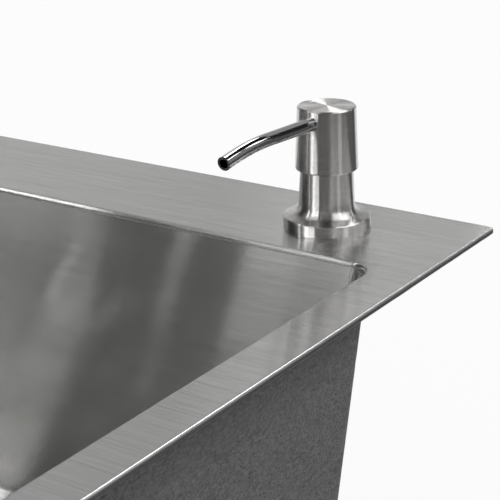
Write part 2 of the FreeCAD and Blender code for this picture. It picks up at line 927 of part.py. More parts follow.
def make_spout_tube():
    start, bend_start, bend_middle, bend_end, tip = spout_path()
    path = Part.Wire(
        [
            Part.LineSegment(start, bend_start).toShape(),
            Part.Arc(bend_start, bend_middle, bend_end).toShape(),
            Part.LineSegment(bend_end, tip).toShape(),
        ]
    )
    way = bend_start - start
    tubes = []
    for diameter in (spout_diameter, spout_bore_diameter):
        section = Part.Wire(Part.Circle(start, way, diameter / 2).toShape())
        tubes.append(path.makePipeShell([section], True, False))
    return tubes[0].cut(tubes[1])


def spout_drill(diameter, first_reach, last_reach):
    """A straight cylinder on the spout's first run, for cutting."""
    rise = math.radians(spout_rise)
    axis_z = deck_top + spout_exit_height
    start = vec(dispenser_x, deck_hole_y - first_reach, axis_z + first_reach * math.tan(rise))
    way = vec(0, -math.cos(rise), math.sin(rise))
    return Part.makeCylinder(diameter / 2, (last_reach - first_reach) / math.cos(rise), start, way)


def make_pump_cap():
    """A tapered cap, hollow below, with a hole in its side for the spout."""
    top_z = deck_top + cap_top_height
    foot_z = deck_top + cap_foot_height
    top_radius = cap_top_diameter / 2
    foot_radius = cap_foot_diameter / 2
    taper = (foot_radius - top_radius) / (top_z - foot_z)
    bend = cap_foot_round * (1 - math.sqrt(0.5))
    cap = turned(
        [
            (0, top_z),
            (top_radius - cap_top_bevel, top_z),
            (top_radius + taper * cap_top_bevel, top_z - cap_top_bevel),
            (foot_radius - taper * cap_foot_round, foot_z + cap_foot_round),
            (foot_radius - bend, foot_z + bend, "arc"),
            (foot_radius - cap_foot_round, foot_z),
            (foot_radius - cap_wall, foot_z),
            (top_radius + taper * cap_top_thickness - cap_wall, core_top_z),
            (0, core_top_z),
        ],
        dispenser_x,
        deck_hole_y,
    )
    hole_diameter = spout_diameter + 2 * spout_hole_gap
    return cap.cut(spout_drill(hole_diameter, core_diameter / 2, cap_foot_diameter))


def make_head_core():
    """The plastic core inside the cap that joins the stem to the spout."""
    core_height = core_top_z - core_under_z
    core = Part.makeCylinder(core_diameter / 2, core_height, vec(dispenser_x, deck_hole_y, core_under_z))
    socket = Part.makeCylinder(
        stem_radius + running_clearance, stem_socket_depth, vec(dispenser_x, deck_hole_y, core_under_z)
    )
    spout_socket = spout_drill(spout_diameter + 2 * spout_hole_gap, spout_inner_reach, core_diameter)
    across = spout_drill(spout_channel_diameter, 0.0, spout_inner_reach)
    rise = Part.makeCylinder(
        stem_bore_diameter / 2,
        deck_top + spout_exit_height + spout_channel_overrun - core_under_z,
        vec(dispenser_x, deck_hole_y, core_under_z),
    )
    return core.cut(socket.fuse(rise)).cut(spout_socket.fuse(across))


def build():
    """Every piece of the sink under its own name."""
    inside = bowl_form(0.0)
    outside = bowl_form(bowl_wall)
    coated = bowl_form(bowl_wall + coat_thickness)
    padded = bowl_form(bowl_wall + coat_thickness + pad_thickness)
    pieces = {
        "deck_plate": make_deck_plate(),
        "bowl": make_bowl(outside, inside),
        "sound_coat": make_sound_coat(outside, coated),
        "floor_pads": make_floor_pads(coated, padded),
        "seal_strips": make_seal_strips(),
        "clip_studs": Part.makeCompound([make_stud(x, y) for _, x, y, _ in clips]),
        "clip_wing_nuts": Part.makeCompound([make_wing_nut(x, y) for _, x, y, _ in clips]),
        "strainer_gasket": ring(
            drain_radius, cup_flange_radius - gasket_margin, seat_z, gasket_thickness, 0.0, opening_y
        ),
        "strainer_cup": make_strainer_cup(),
        "strainer_washer": ring(
            drain_radius, washer_radius, washer_under_z, washer_thickness, 0.0, opening_y
        ),
        "strainer_slip_ring": ring(
            drain_radius, slip_ring_radius, slip_ring_under_z, slip_ring_thickness, 0.0, opening_y
        ),
        "strainer_locknut": make_locknut(),
        "basket_cup": make_basket_cup(),
        "basket_post": make_basket_post(),
        "basket_stopper": make_basket_stopper(),
        "basket_stopper_nut": make_stopper_nut(),
        "dispenser_collar": make_dispenser_collar(),
        "collar_seal": make_collar_seal(),
        "dispenser_shank": make_dispenser_shank(),
        "shank_washer": make_shank_washer(),
        "shank_nut": make_shank_nut(),
        "pump_housing": make_pump_housing(),
        "pump_guide": make_pump_guide(),
        "pump_stem": make_pump_stem(),
        "pump_piston": make_pump_piston(),
        "piston_seal": make_piston_seal(),
        "return_spring": make_return_spring(),
        "inlet_ball": make_inlet_ball(),
        "dip_tube": make_dip_tube(),
        "pump_cap": make_pump_cap(),
        "head_core": make_head_core(),
        "spout_tube": make_spout_tube(),
    }
    for name, x, y, way in clips:
        pieces[name] = make_claw(x, y, way)
    return pieces


os.makedirs("parts", exist_ok=True)
for name, shape in build().items():
    shape.exportStep("parts/" + name + ".step")
    print(name, len(shape.Solids), round(shape.Volume, 1), shape.isValid())
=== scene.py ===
"""Finishes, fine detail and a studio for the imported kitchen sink."""

import json
import math

import bmesh
import bpy
from mathutils import Matrix, Vector


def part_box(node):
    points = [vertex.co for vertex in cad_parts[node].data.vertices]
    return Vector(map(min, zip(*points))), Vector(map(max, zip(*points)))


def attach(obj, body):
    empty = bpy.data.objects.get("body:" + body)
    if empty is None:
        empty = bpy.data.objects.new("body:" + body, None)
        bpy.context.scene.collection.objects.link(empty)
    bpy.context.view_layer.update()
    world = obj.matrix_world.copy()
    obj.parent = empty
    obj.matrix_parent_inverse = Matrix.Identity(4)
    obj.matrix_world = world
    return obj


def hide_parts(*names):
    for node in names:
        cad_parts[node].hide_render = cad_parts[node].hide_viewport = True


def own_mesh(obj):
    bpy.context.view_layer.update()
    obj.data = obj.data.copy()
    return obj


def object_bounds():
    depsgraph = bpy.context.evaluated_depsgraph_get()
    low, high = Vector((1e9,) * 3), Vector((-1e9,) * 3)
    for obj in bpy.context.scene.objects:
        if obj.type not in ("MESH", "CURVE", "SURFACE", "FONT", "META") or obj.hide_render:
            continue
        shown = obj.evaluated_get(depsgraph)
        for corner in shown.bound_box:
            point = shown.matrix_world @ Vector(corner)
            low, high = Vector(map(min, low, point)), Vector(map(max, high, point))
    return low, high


bl_info = {
    "name": "Kitchen Sink",
    "version": (1, 0, 0),
    "blender": (4, 5, 0),
    "location": "View3D > Sidebar > Sink",
    "description": "Gives the packed kitchen sink its finishes, fine detail and studio",
    "category": "Object",
}

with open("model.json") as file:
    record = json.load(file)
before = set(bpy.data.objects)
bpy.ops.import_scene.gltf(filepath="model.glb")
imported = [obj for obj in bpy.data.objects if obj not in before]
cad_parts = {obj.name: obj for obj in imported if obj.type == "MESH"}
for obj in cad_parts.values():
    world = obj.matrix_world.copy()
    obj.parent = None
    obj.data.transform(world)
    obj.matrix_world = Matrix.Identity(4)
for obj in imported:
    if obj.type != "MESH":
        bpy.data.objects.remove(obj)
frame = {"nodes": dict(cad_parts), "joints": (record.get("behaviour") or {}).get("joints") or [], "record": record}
cad_box = [list(corner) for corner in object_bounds()]
nodes = frame["nodes"]
slot_colours = {entry["slot"]: entry["base_color"] for entry in frame["record"]["materials"]}
cap_low, cap_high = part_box("pump_cap")
DISPENSER_AXIS = (cap_low + cap_high) / 2

# Steel finishes: constants of each shader, shares of a fan's pairs and lean of the first pair
STEEL_CONSTANTS = {"Metallic": 1.0, "Anisotropic": 1.0, "Anisotropic Rotation": 0.25}
GROOVE_WEIGHTS = (0.30, 0.28, 0.24, 0.18)
PLATE_LEAN = 0.055
TURNED_LEAN = 0.05

# Brushed strokes, fine to long: scale across the grain, and its share along the grain
BRUSH_STROKES = ((2600.0, 0.03), (1200.0, 0.025), (560.0, 0.02))
RING_SCALE = 3000.0
WALL_FACING_X = 0.7
BUMP_FILTER = 0.02

# Texture space that makes the default tangent of the plain sheets run along X
GRAIN_CENTRE = (0.013, -60.0, 0.0)
GRAIN_SIZE = (1.0, 1.0, 1.0)

# Fine forms, in metres
TAPE_WIDTH = 0.008
TAPE_STEP = 0.006
STUD_RADIUS = 0.003
OUTLET_RADIUS = 0.0239
SHANK_RADIUS = 0.013
BOTTLE_RADIUS = 0.0122
BOTTLE_THREAD_HEIGHT = 0.016
WING_THICKNESS = 0.0016
WALL_TOLERANCE = 0.00002
JOIN_DISTANCE = 0.000002

# Sides of the round walls, rows in a thread's pitch, its steepness, and steps along an ear
STUD_SIDES = 20
WING_NUT_SIDES = 28
SHANK_SIDES = 48
OUTLET_SIDES = 64
THREAD_ROWS = 6
THREAD_FLANK = 1.25
EAR_STEPS = 3

# Wing nut: outline of its body as radius and drop, and of an ear as distance and drop
WING_NUT_BODY = [
    (0.00305, 0.0), (0.0056, 0.0), (0.006, 0.0004), (0.006, 0.0014),
    (0.0052, 0.0052), (0.0044, 0.006), (0.00305, 0.006),
]
WING_NUT_EAR = [
    (0.0042, 0.0014), (0.0062, 0.0019), (0.0086, 0.0031), (0.0108, 0.0040), (0.0122, 0.0052),
    (0.0130, 0.0068), (0.0129, 0.0084), (0.0121, 0.0096), (0.0108, 0.0100), (0.0095, 0.0094),
    (0.0083, 0.0080), (0.0068, 0.0064), (0.0042, 0.0055),
]

# Studio, in metres
STUDIO_CENTRE = Vector((0.2, 0.1, 0.0))
FRONT_DISTANCE = 8.0
DOME_DISTANCE = 9.0
FLOOR_REACH = 30.0
ROOM_RADIUS = 14.0
ROOM_TOP = 11.0
MAT_RADIUS = 12.0
MAT_LIFT = 0.001

# Sides of the room, and the mat's first and last turn in degrees with the steps between them
ROOM_SIDES = 48
MAT_FROM = -105
MAT_TO = 75
MAT_STEPS = 24

# Tones and shares of the studio, and watts per square metre of a lamp at level 1
FLOOR_TONE = 0.95
FLOOR_WHITE = 0.9
WORLD_FILL = 0.4
MAT_TONE = 0.1
LAMP_POWER = 4.0

# Front panels: name, left and right edge as the x part of the direction to them, low, high, level
FRONT_PANELS = [
    ("front_edge", -0.535, -0.50, 0.1, 2.9, 1.2),
    ("front_soft", -0.50, -0.46, 0.1, 2.9, 0.8),
    ("front_key", -0.46, -0.30, 0.1, 2.9, 4.5),
    ("front_fill", -0.30, 0.0, 0.1, 2.9, 2.5),
    ("front_upper_edge", -0.535, -0.46, 2.9, 7.0, 0.7),
    ("front_upper", -0.46, 0.0, 2.9, 7.0, 0.8),
    ("left_far", -0.76, -0.70, 4.0, 10.0, 1.0),
    ("left_upper", -0.70, -0.64, 3.5, 7.0, 3.0),
    ("left_top", -0.69, -0.629, 7.0, 10.5, 6.5),
    ("left_arc", -0.634, -0.628, 7.0, 10.5, 4.0),
    ("left_line", -0.64, -0.625, 2.9, 7.0, 0.9),
    ("left_lower", -0.645, -0.62, 0.1, 2.9, 0.25),
    ("gap_fill", -0.615, -0.58, 0.1, 2.9, 0.08),
    ("gap_line", -0.58, -0.57, 0.1, 2.9, 1.0),
    ("gap_soft", -0.57, -0.535, 0.1, 2.9, 0.15),
]

# Dome panels: name, turn from and to, rise from and to, in degrees, level
DOME_PANELS = [
    ("left_high", -180, -150, 36, 60, 0.35),
    ("front_high", -135, -90, 42, 60, 1.9),
    ("front_right_low", -88, -32, 3, 34, 0.14),
    ("right_low", 2, 56, 3, 34, 0.2),
    ("front_right_high", -90, -30, 36, 60, 0.3),
    ("right_high", -30, 15, 36, 60, 2.8),
    ("right_back_high", 15, 60, 36, 60, 2.8),
    ("right_strip", -15, 0, 2, 17, 1.0),
    ("cap_light", 107, 118, 34, 50, 6.0),
    ("edge_light", 57, 64, 25, 35, 3.0),
    ("inner_edge_light", -151, -141, 45, 57, 1.7),
    ("back_low", 75, 120, 2, 17, 0.44),
    ("back_left_low", 120, 135, 2, 17, 0.7),
    ("left_low", 135, 180, 2, 17, 0.5),
    ("back_middle", 75, 120, 17, 36, 0.28),
    ("back_left_middle", 120, 150, 17, 36, 0.46),
    ("back_high", 105, 135, 36, 60, 0.85),
    ("back_left_high", 135, 180, 36, 60, 0.1),
]


class Value:
    """A node's output, so that shader maths reads as an expression."""

    def __init__(self, finish, socket):
        self.finish = finish
        self.socket = socket

    def math(self, operation, first, second=None):
        return self.finish.node("Math", {"operation": operation}, {0: first, 1: second})

    def __add__(self, other):
        return self.math("ADD", self, other)

    def __radd__(self, other):
        return self.math("ADD", other, self)

    def __sub__(self, other):
        return self.math("SUBTRACT", self, other)

    def __rsub__(self, other):
        return self.math("SUBTRACT", other, self)

    def __mul__(self, other):
        return self.math("MULTIPLY", self, other)

    def __rmul__(self, other):
        return self.math("MULTIPLY", other, self)

    def __gt__(self, other):
        return self.math("GREATER_THAN", self, other)

    def __lt__(self, other):
        return self.math("LESS_THAN", self, other)

    def __abs__(self):
        return self.math("ABSOLUTE", self)


class Finish:
    """A material or world under construction, and the one method that adds its nodes."""

    def __init__(self, name, constants=None, owner=None):
        self.owner = owner or bpy.data.materials.new(name)
        self.owner.use_nodes = True
        self.tree = self.owner.node_tree
        self.shader = self.tree.nodes.get("Principled BSDF")
        for socket, value in (constants or {}).items():
            self.shader.inputs[socket].default_value = value

    def node(self, kind, settings=None, sockets=None, out=0):
        """Adds a node: first its settings, then the values or links of its sockets."""
        made = self.tree.nodes.new("ShaderNode" + kind)
        for key, value in (settings or {}).items():
            if key == "stops":
                elements = made.color_ramp.elements
                while len(elements) < len(value):
                    elements.new(1.0)
                for element, (place, level) in zip(elements, value):
                    element.position = place
                    element.color = (level, level, level, 1.0)
            else:
                setattr(made, key, value)
        for key, value in (sockets or {}).items():
            self.feed(made.inputs[key], value)
        return Value(self, made.outputs[out])

    def feed(self, socket, value):
        """Links a value to a socket, or sets the socket to a plain number or colour."""
        if isinstance(value, Value):
            self.tree.links.new(value.socket, socket)
        elif value is not None:
            socket.default_value = value

    def surface(self, name, value):
        self.feed(self.shader.inputs[name], value)

    def show(self, shader):
        """Makes a shader the material's surface."""
        self.feed(self.tree.nodes["Material Output"].inputs["Surface"], shader)

    def place(self):
        """The point on the surface in metres, in the sink's own frame."""
        return self.node("TexCoord", out="Object")

    def vector(self, operation, *parts):
        return self.node("VectorMath", {"operation": operation}, dict(enumerate(parts)))

    def part(self, vector, axis):
        """One part of a vector."""
        return self.node("SeparateXYZ", None, {0: vector}, out=axis)

    def stretched(self, place, scale):
        return self.vector("MULTIPLY", place, scale)

    def noise(self, vector, scale=1.0, detail=2.0, roughness=0.5):
        return self.node(
            "TexNoise",
            {"noise_dimensions": "3D"},
            {"Vector": vector, "Scale": scale, "Detail": detail, "Roughness": roughness},
        )

    def ramp(self, factor, low, high):
        """Black below one level of the factor and white above another."""
        return self.node("ValToRGB", {"stops": [(low, 0.0), (high, 1.0)]}, {0: factor})

    def blend(self, factor, first, second):
        return self.node("Mix", {"data_type": "FLOAT"}, {"Factor": factor, 2: first, 3: second})

    def tones(self, factor, colour, darkest, lightest):
        """The colour, darker or lighter by the factor."""
        low = [min(1.0, part * darkest) for part in colour] + [1.0]
        high = [min(1.0, part * lightest) for part in colour] + [1.0]
        sockets = {"Factor": factor, 6: low, 7: high}
        self.surface("Base Color", self.node("Mix", {"data_type": "RGBA"}, sockets, out=2))

    def bump(self, height, distance):
        sockets = {"Distance": distance, "Filter Width": BUMP_FILTER, "Height": height}
        relief = self.node("Bump", None, sockets)
        self.surface("Normal", relief)
        return relief

    def lobe(self, normal):
        """A twin of the main shader with a normal of its own."""
        twin = self.node("BsdfPrincipled")
        sockets = twin.socket.node.inputs
        for source, socket in zip(self.shader.inputs, sockets):
            if source.is_linked:
                self.tree.links.new(source.links[0].from_socket, socket)
            elif source.name in STEEL_CONSTANTS:
                socket.default_value = source.default_value
        self.feed(sockets["Normal"], normal)
        return twin

    def fan(self, normal, grain, lean):
        """Fans the gloss out across the grain, as fine grooves do.

        The main shader gives way to pairs of twins whose normals lean each way.
        """
        across = self.vector("CROSS_PRODUCT", normal, grain)
        mixed = None
        total = 0.0
        for index, weight in enumerate(GROOVE_WEIGHTS):
            pair = []
            for side in (-1.0, 1.0):
                reach = [side * (2 * index + 1) * lean] * 3
                leaning = self.vector("MULTIPLY_ADD", across, reach, normal)
                pair.append(self.lobe(self.vector("NORMALIZE", leaning)))
            total += weight
            both = self.node("MixShader", None, {0: 0.5, 1: pair[0], 2: pair[1]})
            if mixed:
                both = self.node("MixShader", None, {0: weight / total, 1: mixed, 2: both})
            mixed = both
        self.show(mixed)
        self.tree.nodes.remove(self.shader)


def brushed_steel(name, colour, roughness, groove_depth, contrast, bow=0.0):
    """Straight-grained steel: long fine strokes along X, or along Y on walls that face X.

    Long walls that face Y may look bowed a little: their shading normals lean, more with depth and distance from
    the middle, while the mesh stays flat.
    """
    finish = Finish(name, STEEL_CONSTANTS)
    place = finish.place()
    normal = finish.node("NewGeometry", out="Normal")
    facing_x = abs(finish.part(normal, "X")) > WALL_FACING_X
    strokes = []
    for scale, stretch in BRUSH_STROKES:
        lengthways = finish.stretched(place, (scale * stretch, scale, scale))
        sideways = finish.stretched(place, (scale, scale * stretch, scale))
        along_x = finish.noise(lengthways, detail=1.0)
        along_y = finish.noise(sideways, detail=1.0)
        strokes.append(finish.blend(facing_x, along_x, along_y))
    fine, broad, long = strokes
    tone = finish.ramp(0.3 * fine + 0.35 * broad + 0.35 * long, 0.3, 0.7)
    finish.tones(tone, colour, 1.0 - contrast, 1.0 + contrast)
    finish.surface("Roughness", roughness * (0.85 + 0.3 * broad))
    relief = finish.bump(fine + broad, groove_depth)
    if bow:
        facing_y = abs(finish.part(normal, "Y"))
        length = finish.part(place, "X")
        depth = finish.part(place, "Z")
        sag = finish.node("CombineXYZ", None, {0: bow * length * depth * depth * facing_y})
        relief = finish.vector("NORMALIZE", finish.vector("ADD", relief, sag))
    sockets = {"Factor": facing_x, 4: (1.0, 0.0, 0.0), 5: (0.0, 1.0, 0.0)}
    grain = finish.node("Mix", {"data_type": "VECTOR"}, sockets, out=1)
    finish.fan(relief, grain, PLATE_LEAN)
    return finish.owner


def turned_steel(name, colour, axis, roughness, groove_depth):
    """Lathe-turned steel: fine rings about a vertical axis."""
    finish = Finish(name, STEEL_CONSTANTS)
    place = finish.place()
    centred = finish.vector("SUBTRACT", place, axis)
    flat = finish.stretched(centred, (1.0, 1.0, 0.0))
    radius = finish.node("VectorMath", {"operation": "LENGTH"}, {0: flat}, out="Value")
    height = finish.part(centred, "Z")
    rings = finish.node("CombineXYZ", None, {0: radius * RING_SCALE, 1: height * RING_SCALE})
    fine = finish.noise(rings, detail=1.0)
    dashes = finish.noise(finish.stretched(place, (260.0, 260.0, 1500.0)), detail=2.0)
    finish.tones(0.4 * fine + 0.6 * dashes, colour, 0.7, 1.3)
    finish.surface("Roughness", roughness * (0.8 + 0.4 * fine))
    relief = finish.bump(fine, groove_depth)
    around = finish.vector("CROSS_PRODUCT", (0.0, 0.0, 1.0), flat)
    finish.fan(relief, finish.vector("NORMALIZE", around), TURNED_LEAN)
    return finish.owner


def polished_metal(name, colour, roughness, darkest=0.92, lightest=1.06):
    """Bright metal with faint cloudy smears."""
    finish = Finish(name, {"Metallic": 1.0})
    cloud = finish.noise(finish.place(), scale=120.0, detail=4.0, roughness=0.6)
    finish.tones(cloud, colour, darkest, lightest)
    finish.surface("Roughness", roughness * (0.7 + 0.6 * cloud))
    return finish.owner


def zinc_plate(name, colour):
    """Bright zinc: soft crystalline patches with a grey bloom."""
    finish = Finish(name, {"Metallic": 1.0})
    place = finish.place()
    cells = finish.node("TexVoronoi", None, {"Vector": place, "Scale": 420.0}, out="Color")
    grey = finish.node("RGBToBW", None, {0: cells})
    cloud = finish.noise(place, scale=160.0, detail=4.0, roughness=0.6)
    finish.tones(0.4 * grey + 0.6 * cloud, colour, 0.8, 1.1)
    finish.surface("Roughness", 0.26 + 0.22 * cloud)
    finish.bump(cloud, 0.00004)
    return finish.owner


def sprayed_coat(name, colour):
    """Sprayed sound-deadening coat: crowded pebbles and short wrinkles."""
    finish = Finish(name, {"Specular IOR Level": 0.45})
    place = finish.place()
    drift = finish.noise(place, scale=160.0, detail=2.0)
    pebbles = finish.noise(place, scale=820.0, detail=3.0, roughness=0.55)
    wrinkles = finish.noise(finish.stretched(place, (1.0, 0.55, 1.0)), scale=520.0, detail=2.0)
    grain = 0.55 * pebbles + 0.45 * wrinkles
    finish.tones(0.75 * finish.ramp(grain, 0.35, 0.68) + 0.25 * drift, colour, 0.94, 2.95)
    finish.surface("Roughness", 0.42 + 0.3 * grain)
    finish.bump(grain, 0.004)
    return finish.owner


def moulded(name, colour, roughness, grain_depth=0.00002):
    """Moulded rubber or plastic: a fine even grain with soft cloudy tone."""
    finish = Finish(name, {"Specular IOR Level": 0.4})
    place = finish.place()
    cloud = finish.noise(place, scale=70.0, detail=3.0)
    grain = finish.noise(place, scale=2200.0, detail=2.0)
    finish.tones(0.6 * cloud + 0.4 * grain, colour, 0.85, 1.15)
    finish.surface("Roughness", roughness * (0.85 + 0.3 * grain))
    finish.bump(grain, grain_depth)
    return finish.owner


def cellular_foam(name, colour):
    """Closed-cell foam tape: small cut cells."""
    finish = Finish(name, {"Specular IOR Level": 0.25})
    place = finish.place()
    cells = finish.node("TexVoronoi", None, {"Vector": place, "Scale": 1500.0}, out="Distance")
    cloud = finish.noise(place, scale=90.0, detail=2.0)
    finish.tones(0.7 * cells + 0.3 * cloud, colour, 0.7, 1.4)
    finish.surface("Roughness", 0.8 + 0.15 * cells)
    finish.bump(cells, 0.0004)
    return finish.owner


def pressed_fibre(name, colour):
    """Pressed fibre board: short matted strands."""
    finish = Finish(name, {"Specular IOR Level": 0.2})
    drawn = finish.stretched(finish.place(), (1.0, 3.0, 1.0))
    strands = finish.noise(drawn, scale=700.0, detail=4.0, roughness=0.7)
    finish.tones(strands, colour, 0.65, 1.3)
    finish.surface("Roughness", 0.75 + 0.2 * strands)
    finish.bump(strands, 0.0001)
    return finish.owner


def colour_property(label, default):
    return bpy.props.FloatVectorProperty(
        name=label,
        description=label + " colour",
        default=default,
        min=0.0,
        max=1.0,
        size=3,
        subtype="COLOR",
    )


class SinkColours(bpy.types.PropertyGroup):
    """Colours of the finishes, as the record gives them, and of the plate's polished edge."""

    brushed_steel: colour_property("Brushed plate", slot_colours["brushed_steel"])
    bowl_steel: colour_property("Brushed bowl", slot_colours["bowl_steel"])
    sound_coat: colour_property("Sprayed coat", slot_colours["sound_coat"])
    pad_rubber: colour_property("Sound pad", slot_colours["pad_rubber"])
    foam: colour_property("Seal tape", slot_colours["foam"])
    zinc: colour_property("Zinc plate", slot_colours["zinc"])
    rubber: colour_property("Rubber", slot_colours["rubber"])
    polished_steel: colour_property("Polished steel", slot_colours["polished_steel"])
    fibre: colour_property("Fibre ring", slot_colours["fibre"])
    turned_steel: colour_property("Turned steel", slot_colours["turned_steel"])
    black_plastic: colour_property("Black plastic", slot_colours["black_plastic"])
    white_plastic: colour_property("White plastic", slot_colours["white_plastic"])
    spring_steel: colour_property("Spring wire", slot_colours["spring_steel"])
    chrome: colour_property("Chrome", slot_colours["chrome"])
    polished_edge: colour_property("Polished edge", (0.93, 0.93, 0.93))


def length_property(label, description, default):
    return bpy.props.FloatProperty(
        name=label, description=description, default=default, min=0.0, precision=5, unit="LENGTH"
    )


class SinkSizes(bpy.types.PropertyGroup):
    """Sizes of the fine detail."""

    edge_round: length_property(
        "Edge rounding", "Rounding along the plate's edges", 0.0008
    )
    fastener_round: length_property(
        "Fastener rounding", "Rounding along the edges of nuts and claws", 0.0004
    )
    tape_round: length_property(
        "Tape rounding", "Rounding along the seal tape's lower edges", 0.0007
    )
    stud_pitch: length_property(
        "Stud pitch", "Pitch of the clip studs' thread", 0.001
    )
    stud_depth: length_property(
        "Stud thread depth", "Depth of the clip studs' thread", 0.00055
    )
    outlet_pitch: length_property(
        "Outlet pitch", "Pitch of the drain outlet's thread", 0.0023
    )
    outlet_depth: length_property(
        "Outlet thread depth", "Depth of the drain outlet's thread", 0.0012
    )
    shank_pitch: length_property(
        "Shank pitch", "Pitch of the dispenser shank's thread", 0.002
    )
    shank_depth: length_property(
        "Shank thread depth", "Depth of the dispenser shank's thread", 0.0008
    )
    bottle_pitch: length_property(
        "Bottle pitch", "Pitch of the bottle's thread below the shank", 0.004
    )
    bottle_depth: length_property(
        "Bottle thread depth", "Depth of the bottle's thread below the shank", 0.0007
    )


def angle_property(label, description, degrees):
    return bpy.props.FloatProperty(
        name=label, description=description, default=math.radians(degrees), subtype="ANGLE"
    )


class SinkStudio(bpy.types.PropertyGroup):
    """The camera's place and the studio's levels."""

    camera_place: bpy.props.FloatVectorProperty(
        name="Camera place",
        description="Where the camera stands",
        default=(0.67955, -0.44797, 0.26159),
        size=3,
        subtype="TRANSLATION",
        unit="LENGTH",
    )
    camera_turn: angle_property("Turn", "Camera's turn to the left of +Y", 34.72)
    camera_tilt: angle_property("Tilt", "Camera's tilt below the horizon", 20.289)
    camera_roll: angle_property("Roll", "Camera's roll about its axis", -1.294)
    camera_lens: bpy.props.FloatProperty(
        name="Lens", description="Focal length on a 36 mm sensor", default=102.63, unit="CAMERA"
    )
    lamp_level: bpy.props.FloatProperty(
        name="Lamp level",
        description="Brightness of all softboxes",
        default=1.0,
        min=0.0,
        soft_max=2.0,
        subtype="FACTOR",
    )
    wall_tone: bpy.props.FloatProperty(
        name="Wall tone",
        description="Grey of the studio's walls",
        default=0.06,
        min=0.0,
        max=1.0,
        subtype="FACTOR",
    )


def give(finish, *names):
    """Puts a finish on CAD pieces."""
    for name in names:
        mesh = nodes[name].data
        mesh.materials.clear()
        mesh.materials.append(finish)


def rounded(piece, width, edge_finish=None):
    """Rounds a piece's hard edges, so that they catch the light."""
    weld = piece.modifiers.new("Join corners", "WELD")
    weld.merge_threshold = JOIN_DISTANCE
    flats = piece.modifiers.new("Join flat faces", "DECIMATE")
    flats.decimate_type = "DISSOLVE"
    flats.angle_limit = math.radians(0.5)
    bevel = piece.modifiers.new("Round edges", "BEVEL")
    bevel.width = width
    bevel.segments = 2
    bevel.limit_method = "ANGLE"
    bevel.angle_limit = math.radians(35)
    bevel.use_clamp_overlap = True
    if edge_finish:
        piece.data.materials.append(edge_finish)
        bevel.material = len(piece.data.materials) - 1
    piece.modifiers.new("Even faces", "WEIGHTED_NORMAL")


def own_piece(name, mesh, body, finish, slot, *replaced):
    """Shows a mesh as a piece that rides on a body and stands for CAD pieces."""
    mesh.name = name
    mesh.materials.clear()
    mesh.materials.append(finish)
    piece = bpy.data.objects.new(name, mesh)
    bpy.context.collection.objects.link(piece)
    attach(piece, body)
    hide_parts(*replaced)
    return piece


def grained_copy(node, name, finish, slot):
    """A copy of a plain sheet whose grain runs along X, in place of the CAD piece."""
    mesh = nodes[node].data.copy()
    mesh.use_auto_texspace = False
    mesh.texspace_location = GRAIN_CENTRE
    mesh.texspace_size = GRAIN_SIZE
    return own_piece(name, mesh, "sink", finish, slot, node)


def round_point(axis, radius, turn, height):
    """A point at a radius and a turn about a vertical axis."""
    return axis[0] + radius * math.cos(turn), axis[1] + radius * math.sin(turn), height


def cut_thread(made, axis, radius, low, high, pitch, depth, sides):
    """Swaps a plain round wall for one with a thread cut into it."""

    def on_wall(vertex):
        reach = math.hypot(vertex.co.x - axis[0], vertex.co.y - axis[1])
        return abs(reach - radius) < WALL_TOLERANCE

    plain = []
    for face in made.faces:
        upright = abs(face.normal.z) < 0.5 and low < face.calc_center_median().z < high
        if upright and all(on_wall(vertex) for vertex in face.verts):
            plain.append(face)
    if not plain:
        raise ValueError("no round wall to cut a thread into")
    levels = [vertex.co.z for face in plain for vertex in face.verts]
    low, high = min(levels), max(levels)
    bmesh.ops.delete(made, geom=plain, context="FACES")
    steps = max(2, round((high - low) / pitch * THREAD_ROWS))
    rows = []
    for step in range(steps + 1):
        height = low + (high - low) * step / steps
        fade = min(1.0, (height - low) / pitch, (high - height) / pitch)
        row = []
        for side in range(sides):
            turn = 2 * math.pi * side / sides
            phase = ((height - low) / pitch - side / sides) % 1.0
            groove = min(1.0, THREAD_FLANK * abs(2.0 * phase - 1.0))
            reach = radius - depth * fade * groove
            row.append(made.verts.new(round_point(axis, reach, turn, height)))
        rows.append(row)
    for below, above in zip(rows, rows[1:]):
        for side in range(sides):
            after = (side + 1) % sides
            face = made.faces.new((below[side], below[after], above[after], above[side]))
            face.smooth = True


def threaded_copy(node, name, finish, slot, threads):
    """A copy of a CAD piece with threads cut into its round walls."""
    mesh = nodes[node].data.copy()
    made = bmesh.new()
    made.from_mesh(mesh)
    for thread in threads:
        cut_thread(made, *thread)
    made.to_mesh(mesh)
    made.free()
    return own_piece(name, mesh, "sink", finish, slot, node)


def solid_centres(node):
    """Middle of the box of each separate solid of a CAD piece, seen from above."""
    made = bmesh.new()
    made.from_mesh(nodes[node].data)
    bmesh.ops.remove_doubles(made, verts=made.verts, dist=JOIN_DISTANCE)
    waiting = set(made.verts)
    centres = []
    while waiting:
        reached = [waiting.pop()]
        for vertex in reached:
            for edge in vertex.link_edges:
                other = edge.other_vert(vertex)
                if other in waiting:
                    waiting.remove(other)
                    reached.append(other)
        spans = [[vertex.co[part] for vertex in reached] for part in (0, 1)]
        centres.append(tuple((min(span) + max(span)) / 2 for span in spans))
    made.free()
    return sorted(centres)


def bridge(made, here, there):
    """Joins two equal closed rows of corners with a band of faces."""
    count = len(here)
    for index in range(count):
        after = (index + 1) % count
        made.faces.new((here[index], there[index], there[after], here[after]))


def turned_ring(made, axis, outline, sides):
    """Adds a ring turned about a vertical axis from a closed outline of radius and height."""
    rings = []
    for side in range(sides):
        turn = 2 * math.pi * side / sides
        corners = [round_point(axis, radius, turn, height) for radius, height in outline]
        rings.append([made.verts.new(corner) for corner in corners])
    for side in range(sides):
        bridge(made, rings[side], rings[(side + 1) % sides])


